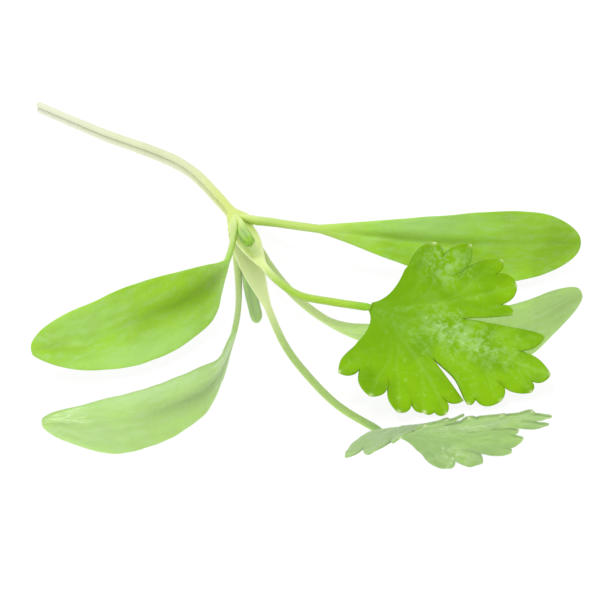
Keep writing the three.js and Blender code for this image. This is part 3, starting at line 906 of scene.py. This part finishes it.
def seed_material(sizes):
    """Smooth waxy seed leaf: mid green with irregular lengthwise pale streaks (painted glints along the
    ribs), painted shade in the hollow near its base, painted sheen where its pale patches say, and a
    pale stalk."""
    size = sizes.seed
    dark = times(size.colour, 0.86)
    material, tree, tissue, shader, *_ = leaf_material(
        "Seed leaf", size.colour, dark, size.pale, 0.3, 0.32, 0.3, gloss=0.18
    )
    course = tree.nodes.new("ShaderNodeCombineXYZ")
    fill(tree, course, X=attribute(tree, "along", 6.0), Y=attribute(tree, "across", 3.0))
    # Pale lengthwise streaks: painted glints along the ribs.
    streaks = remap(tree, noise(tree, course.outputs["Vector"], 2.2, 5.0, 0.62, 0.5), 0.46, 0.68, 0.0, 0.48)
    ribs = maths(tree, "MULTIPLY_ADD", attribute(tree, "rib"), 0.2, streaks)
    ribbed = mix(tree, ribs, tissue, size.pale)
    # Painted shade in the hollow, then the painted sheen patches.
    deeper = mix(tree, attribute(tree, "dark", 0.9), ribbed, size.hollow)
    paler = mix(tree, attribute(tree, "pale", 0.75), deeper, size.pale)
    rim = remap(tree, maths(tree, "ABSOLUTE", attribute(tree, "across")), 0.9, 1.0, 0.0, 0.45)
    rimmed = mix(tree, rim, paler, dark)
    stalked = mix(tree, attribute(tree, "stalky"), rimmed, size.stalk_colour)
    start = remap(tree, attribute(tree, "along"), -0.53, -0.28, 1.0, 0.0)
    fill(tree, shader, Base_Color=mix(tree, start, stalked, sizes.stem.collar_colour))
    return material


def blade_material(sizes):
    """Fresh true leaf: vivid green with darker patches, pale veins and tooth tips, a thin darker
    rim, a paler underside and a cellular upper skin. It is darker near the stalk, with painted shade
    between its sheen patches, and pale speckled sheen is painted on the upper skin in patches
    (painted highlight), where it is also glossier."""
    size = sizes.leaf
    material, tree, tissue, shader, place, rough = leaf_material(
        "True leaf", size.colour, size.dark, size.pale, 0.25, 0.22, 0.5, gloss=0.08
    )
    # Painted sheen: pale speckled highlight patches mixed into the colour.
    speckle = remap(tree, noise(tree, place, 1700, 4.0, 0.7, 0.3), 0.42, 0.6)
    painted_sheen = maths(tree, "MULTIPLY", maths(tree, "MULTIPLY", attribute(tree, "painted_sheen"), speckle), 0.7)
    colour = mix(tree, painted_sheen, tissue, size.painted_sheen)
    # The base mask darkens near the stalk and paints shade between the sheen patches.
    for mask, share, other in (
        ("vein", 0.22, size.pale),
        ("base", 0.85, size.dark),
        ("rim", 0.4, times(size.colour, 0.8)),
        ("tip", 0.9, size.tip),
    ):
        colour = mix(tree, attribute(tree, mask, share), colour, other)
    colour = mix(tree, attribute(tree, "inner"), size.underside, colour)
    dull = maths(tree, "MULTIPLY_ADD", attribute(tree, "painted_sheen"), -0.16, 0.14)
    fill(tree, shader, Base_Color=colour, Roughness=maths(tree, "ADD", rough, dull))
    return material


def stalk_material(sizes):
    """Stalk of the true leaf: a pale translucent sheath that turns vivid green towards the blade."""
    size = sizes.leaf
    pale = size.sheath_colour
    material, tree, tissue, shader, *_ = leaf_material(
        "Leaf stalk", pale, times(pale, 0.92), (0.72, 0.85, 0.42), 0.4, 0.36, 0.15
    )
    along = attribute(tree, "along")
    greener = mix(tree, remap(tree, along, 0.33, 0.62), tissue, size.stalk_colour)
    blending = mix(tree, remap(tree, along, 0.9, 1.0), greener, size.colour)
    colour = mix(tree, remap(tree, along, 0.03, 0.14), sizes.stem.collar_colour, blending)
    fill(tree, shader, Base_Color=colour, Subsurface_Weight=0.5, Subsurface_Scale=1.2 * MM)
    fill(tree, shader, Subsurface_Radius=(1.0, 1.0, 0.5))
    return material


def bud_material(sizes):
    """Folded young leaf: mid green, painted darker in the grooves of its folds (painted shade), on a pale
    stalk.
    """
    green = sizes.bud.colour
    material, tree, tissue, shader, *_ = leaf_material(
        "Folded leaf", green, times(green, 0.85), times(green, 1.5), 0.3, 0.42, 0.3
    )
    # Painted shade in the grooves between the pleats.
    folds = mix(tree, attribute(tree, "fold"), tissue, times(green, 0.65))
    fill(tree, shader, Base_Color=mix(tree, attribute(tree, "swell"), sizes.stem.collar_colour, folds))
    return material


def floor_material(mirror):
    """A pale glossy surface that mirrors part of the light."""
    material, tree, shader = new_material("Pale glossy floor")
    fill(tree, shader, Base_Color=(0.98, 0.98, 0.98), Metallic=mirror, Roughness=0.02)
    return material


# ---- stage ----
FLOOR_REACH = 1.5
FLOOR_DROP = 0.00002
SKY_STRENGTH = 1.02
LOOK_AT = (-0.01 * MM, -10.56 * MM, 0)
# Softboxes, as (name, direction from the seedling, distance, width, power in watts).
SOFTBOXES = (
    ("Softbox over", (-0.18, -0.43, 0.875), 0.32, 0.035, 0.22),
    ("Softbox left", (-0.75, 0.1, 0.65), 0.4, 0.1, 0.12),
)


# ---- operators ----
class OBJECT_OT_seedling_stem(bpy.types.Operator):
    """Builds the cut stem, from its cut end to the collar"""

    bl_idname = "object.seedling_stem"
    bl_label = "Stem"

    def execute(self, context):
        sizes = context.scene.seedling
        length = sizes.stem.length
        collar, forward, _ = collar_frame(sizes)
        line = course_line(STEM_COURSE[::-1], length, STEM_STEPS)
        beyond = np.linspace(0, CROWN, 24)[1:]
        line = np.vstack([line, line[-1] + forward * beyond[:, None]])
        run = np.concatenate([np.linspace(0, length, STEM_STEPS), length + beyond])
        line = resampled(line, run, np.linspace(0, run[-1], STEM_STEPS + 60))
        rings = stem_rings(sizes, line, 48) + collar
        obj = closed_tube("seedling_stem", rings, {"along": np.linspace(0, 1, len(line))[:, None]})
        obj.data.materials.append(stem_material(sizes))
        settle(obj, "stem")
        return {"FINISHED"}


class OBJECT_OT_seedling_seed_leaves(bpy.types.Operator):
    """Builds the two seed leaves with their stalks"""

    bl_idname = "object.seedling_seed_leaves"
    bl_label = "Seed leaves"

    def execute(self, context):
        sizes = context.scene.seedling
        size = sizes.seed
        material = seed_material(sizes)
        for node, name, length, width in (
            ("left_seed_leaf", "seed_leaf_left", size.left_length, size.left_width),
            ("right_seed_leaf", "seed_leaf_right", size.right_length, size.right_width),
        ):
            obj = closed_tube(name, *seed_leaf(sizes, node, length, width))
            obj.data.materials.append(material)
            settle(obj, node)
        return {"FINISHED"}


class OBJECT_OT_seedling_true_leaf(bpy.types.Operator):
    """Builds the first true leaf: its sheathing stalk and its fan blade"""

    bl_idname = "object.seedling_true_leaf"
    bl_label = "True leaf"

    def execute(self, context):
        sizes = context.scene.seedling
        size = sizes.leaf
        sheet, masks, rim_gap = blade_sheet(sizes)
        turn = blade_turn(size)
        x, y = sheet[..., 0], sheet[..., 1]
        plain = np.stack([x, y, cup_height(size, x, y) - PACKED_HALF_THICKNESS], -1)
        line = leaf_stalk_line(sizes, (plain @ turn.T)[..., 2].min(), 240)
        starts = start_of(sizes, np.linspace(0, size.stalk_length, len(line)))
        place = starts[-1, 0] + line[-1] - turn[:, 0] * BLADE_OVERLAP
        top, under = (face @ turn.T + place for face in thicken(size, sheet, rim_gap))
        verts, quads, values = closed_sheet(top, under, masks)
        blade = make_mesh("true_leaf", verts, quads, np.zeros((0, 3), int), values)
        rings, t = stalk_rings(sizes, line, 48)
        stalk = closed_tube("true_leaf_stalk", rings + starts, {"along": t})
        blade.data.materials.append(blade_material(sizes))
        stalk.data.materials.append(stalk_material(sizes))
        bpy.ops.object.select_all(action="DESELECT")
        for obj in (stalk, blade):
            obj.select_set(True)
        context.view_layer.objects.active = blade
        bpy.ops.object.join()
        settle(blade, "first_leaf")
        return {"FINISHED"}


class OBJECT_OT_seedling_bud(bpy.types.Operator):
    """Builds the second leaf, which is still folded"""

    bl_idname = "object.seedling_bud"
    bl_label = "Folded leaf"

    def execute(self, context):
        sizes = context.scene.seedling
        size = sizes.bud
        line = course_line(BUD_COURSE, size.length, 160)
        rings, swell, pleat = bud_rings(sizes, line, 60)
        above = (sizes.leaf.stalk_diameter + size.stalk_diameter) / 2 + SIDE_GAP
        rings += start_of(sizes, np.linspace(0, size.length, len(line)), above=above)
        # fold: how deep each point lies in a pleat's groove, where shade is painted.
        fold = np.clip((1 - pleat) / PLEAT_DEPTH, 0, 1) ** 2
        obj = closed_tube("folded_leaf", rings, {"swell": swell, "fold": fold})
        obj.data.materials.append(bud_material(sizes))
        settle(obj, "second_leaf_bud")
        return {"FINISHED"}


class OBJECT_OT_seedling_stage(bpy.types.Operator):
    """Lays the pale glossy surface and sets the light and the camera"""

    bl_idname = "object.seedling_stage"
    bl_label = "Stage"

    def execute(self, context):
        stage = context.scene.seedling.stage
        side = np.linspace(-FLOOR_REACH, FLOOR_REACH, 25)
        x, y = np.meshgrid(side, side, indexing="ij")
        grid = np.stack([x, y, np.full_like(x, -FLOOR_DROP)], -1)
        index = np.arange(grid.shape[0] * grid.shape[1]).reshape(grid.shape[:2])
        mesh = bpy.data.meshes.new("floor")
        mesh.from_pydata(grid.reshape(-1, 3).tolist(), [], grid_quads(index).tolist())
        floor = bpy.data.objects.new("floor", mesh)
        mesh.materials.append(floor_material(stage.mirror))
        context.scene.collection.objects.link(floor)

        world = bpy.data.worlds.new("Studio")
        world.use_nodes = True
        sky = next(n for n in world.node_tree.nodes if n.type == "BACKGROUND")
        sky.inputs["Color"].default_value = (1, 1, 1, 1)
        sky.inputs["Strength"].default_value = SKY_STRENGTH
        context.scene.world = world

        for name, direction, distance, size, power in SOFTBOXES:
            light = bpy.data.lights.new(name, "AREA")
            light.size = size
            light.energy = power
            lamp = bpy.data.objects.new(name, light)
            way = Vector(direction).normalized()
            facing = way.to_track_quat("Z", "Y").to_matrix().to_4x4()
            lamp.matrix_world = Matrix.Translation(way * distance) @ facing
            context.scene.collection.objects.link(lamp)

        look = Vector((0, math.cos(stage.elevation), -math.sin(stage.elevation)))
        high = Vector((0, math.sin(stage.elevation), math.cos(stage.elevation)))
        right = Vector((1, 0, 0)) * math.cos(stage.roll) + high * math.sin(stage.roll)
        up = high * math.cos(stage.roll) - Vector((1, 0, 0)) * math.sin(stage.roll)
        data = bpy.data.cameras.new("Camera")
        data.sensor_width = 36
        data.angle = stage.field
        data.clip_start = 0.01
        data.dof.use_dof = False
        camera = bpy.data.objects.new("Camera", data)
        turn = Matrix((right, up, -look)).transposed().to_4x4()
        camera.matrix_world = Matrix.Translation(Vector(LOOK_AT) - look * stage.distance) @ turn
        context.scene.collection.objects.link(camera)
        context.scene.camera = camera
        context.scene.view_settings.view_transform = "Standard"
        return {"FINISHED"}


class VIEW3D_PT_seedling(bpy.types.Panel):
    """Lists the seedling's pieces"""

    bl_idname = "VIEW3D_PT_seedling"
    bl_label = "Coriander seedling"
    bl_space_type = "VIEW_3D"
    bl_region_type = "UI"
    bl_category = "Seedling"

    def draw(self, context):
        for operator in OPERATORS:
            self.layout.operator(operator.bl_idname)


OPERATORS = (
    OBJECT_OT_seedling_stem,
    OBJECT_OT_seedling_seed_leaves,
    OBJECT_OT_seedling_true_leaf,
    OBJECT_OT_seedling_bud,
    OBJECT_OT_seedling_stage,
)
CLASSES = (
    StemSizes,
    SeedLeafSizes,
    TrueLeafSizes,
    BudSizes,
    StageSizes,
    SeedlingProps,
    *OPERATORS,
    VIEW3D_PT_seedling,
)


def register():
    """Registers the classes and the scene's settings."""
    for cls in CLASSES:
        bpy.utils.register_class(cls)
    bpy.types.Scene.seedling = PointerProperty(type=SeedlingProps)


def unregister():
    """Removes them again."""
    del bpy.types.Scene.seedling
    for cls in reversed(CLASSES):
        bpy.utils.unregister_class(cls)


def main():
    """Builds every piece and the stage."""
    register()
    bpy.ops.object.seedling_stem()
    bpy.ops.object.seedling_seed_leaves()
    bpy.ops.object.seedling_true_leaf()
    bpy.ops.object.seedling_bud()
    bpy.ops.object.seedling_stage()
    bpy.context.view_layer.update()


if __name__ == "__main__":
    main()
